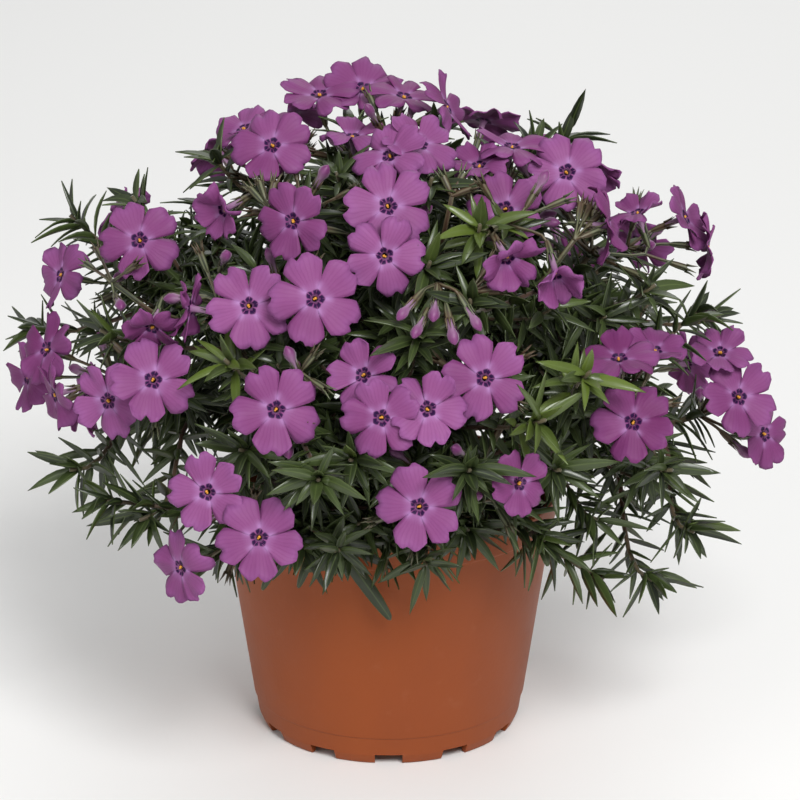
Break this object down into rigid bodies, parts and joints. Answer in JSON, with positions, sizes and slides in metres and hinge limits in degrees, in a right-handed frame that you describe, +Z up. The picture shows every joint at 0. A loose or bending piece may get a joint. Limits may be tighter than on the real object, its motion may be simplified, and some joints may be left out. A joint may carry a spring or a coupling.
{
  "type": "potted phlox plant",
  "caption": "Dome-shaped phlox plant in full bloom, with notched flowers on leafy stems, rooted in the soil of a round tapered nursery pot.",
  "frame": {"origin": "centre of the pot's base, on the surface that it stands on", "axes": "+Z up, along the pot's axis; the side seen in the picture faces -Y, and +X is to its right"},
  "size_m": [0.2587, 0.2328, 0.2222],
  "materials": {
    "pot_plastic": "semi-matt terracotta-coloured moulded plastic",
    "potting_soil": "loose dark potting soil, fully rough",
    "foliage": "glossy green leaves on reddish-brown stems",
    "petals": "thin velvety magenta-purple petals"
  },
  "bodies": {
    "root": {"pot": "pot_plastic", "soil": "potting_soil", "spray_back": "petals", "spray_back_left": "petals", "spray_back_left_low": "petals", "spray_back_left_top": "petals", "spray_back_low": "petals", "spray_back_right": "petals", "spray_back_right_low": "petals", "spray_back_right_top": "petals", "spray_centre": "petals", "spray_centre_left": "petals", "spray_crown": "petals", "spray_crown_left": "petals", "spray_crown_right": "petals", "spray_east": "petals", "spray_east_edge": "petals", "spray_east_low": "petals", "spray_front": "petals", "spray_front_left": "petals", "spray_front_right": "petals", "spray_left_bell": "petals", "spray_middle": "petals", "spray_middle_left": "petals", "spray_middle_right": "petals", "spray_right": "petals", "spray_right_bells": "petals", "spray_right_high": "petals", "spray_right_inner": "petals", "spray_upper_left": "petals", "spray_upper_right": "petals", "spray_west": "petals", "spray_west_edge": "petals", "spray_west_inner": "petals", "spray_west_low": "petals", "stem_back": "foliage", "stem_back_left": "foliage", "stem_back_left_top": "foliage", "stem_back_right": "foliage", "stem_back_right_top": "foliage", "stem_centre": "foliage", "stem_crown": "foliage", "stem_crown_left": "foliage", "stem_crown_right": "foliage", "stem_east": "foliage", "stem_east_edge": "foliage", "stem_east_low": "foliage", "stem_front_left": "foliage", "stem_front_right": "foliage", "stem_middle": "foliage", "stem_middle_left": "foliage", "stem_right": "foliage", "stem_right_high": "foliage", "stem_upper_left": "foliage", "stem_west": "foliage", "stem_west_inner": "foliage", "stem_west_low": "foliage"}
  },
  "joints": []
}
